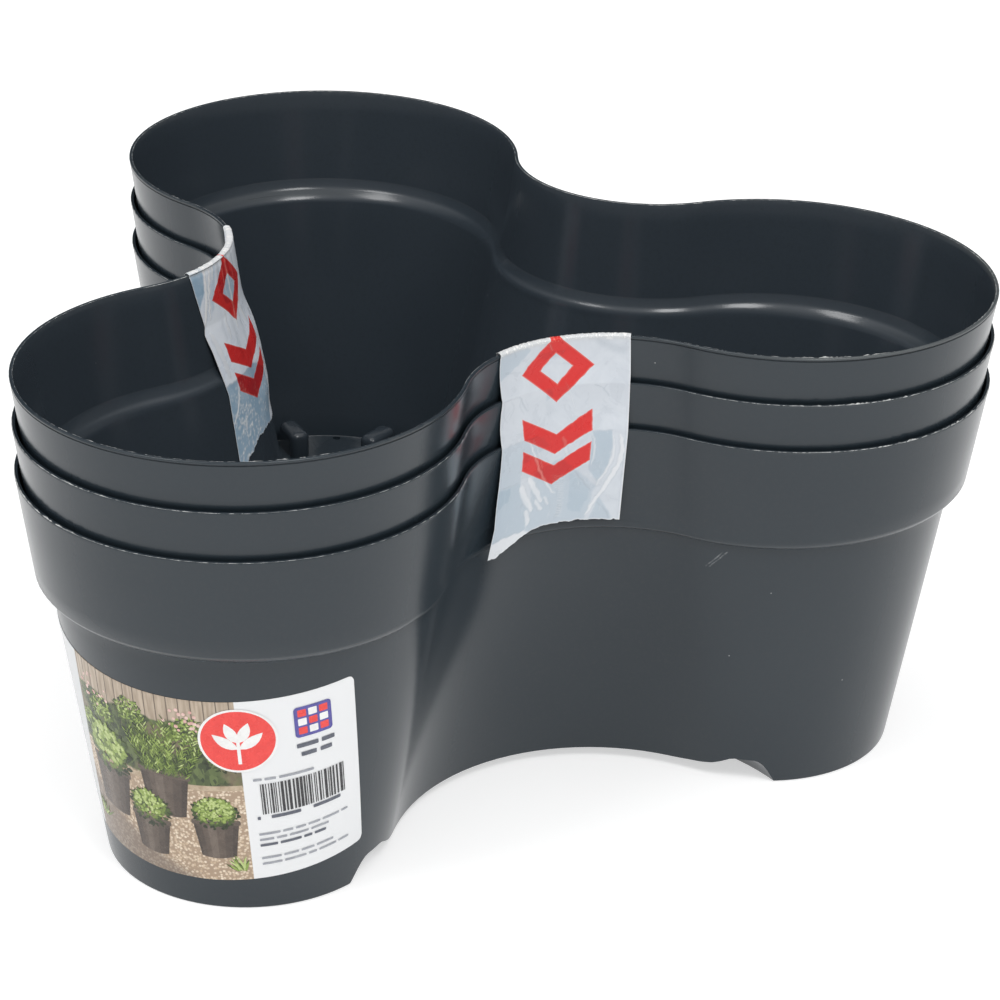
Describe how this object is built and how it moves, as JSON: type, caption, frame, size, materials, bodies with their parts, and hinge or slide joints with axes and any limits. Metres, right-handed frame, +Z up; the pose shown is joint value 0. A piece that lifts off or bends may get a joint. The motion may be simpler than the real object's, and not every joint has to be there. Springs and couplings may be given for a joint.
{
  "type": "nested trefoil plant pot set",
  "caption": "Identical open-topped trefoil plastic plant pots nested in one another, held together by printed film tapes folded over the top rim, with a wrapped label on the lowest pot.",
  "frame": {"origin": "on the ground plane, under the middle of the set's bounding box", "axes": "+Z up out of the pots, +X to the right when the labelled lobe faces the viewer, -Y towards the viewer through the labelled lobe; the three-fold axis of the pots stands 0.0306 m behind the origin, parallel to +Z"},
  "size_m": [0.3672, 0.3388, 0.1856],
  "materials": {
    "charcoal_plastic": "satin moulded polypropylene",
    "printed_film": "thin wrinkled film with a red print",
    "printed_label": null
  },
  "bodies": {
    "bottom_pot_body": {"pot_bottom": "charcoal_plastic", "label": "printed_label"},
    "middle_pot_body": {"pot_middle": "charcoal_plastic"},
    "top_pot_body": {"pot_top": "charcoal_plastic"},
    "front_tape_body": {"tape_front": "printed_film"},
    "left_tape_body": {"tape_left": "printed_film"}
  },
  "joints": [
    {"name": "lift_middle_pot", "type": "slide", "parent": "bottom_pot_body", "child": "middle_pot_body", "axis": [0, 0, 1], "range_m": [0, 0.15]},
    {"name": "lift_top_pot", "type": "slide", "parent": "middle_pot_body", "child": "top_pot_body", "axis": [0, 0, 1], "range_m": [0, 0.15]},
    {"name": "peel_front_tape", "type": "slide", "parent": "top_pot_body", "child": "front_tape_body", "axis": [0, 0, 1], "range_m": [0, 0.1]},
    {"name": "peel_left_tape", "type": "slide", "parent": "top_pot_body", "child": "left_tape_body", "axis": [0, 0, 1], "range_m": [0, 0.1]}
  ]
}
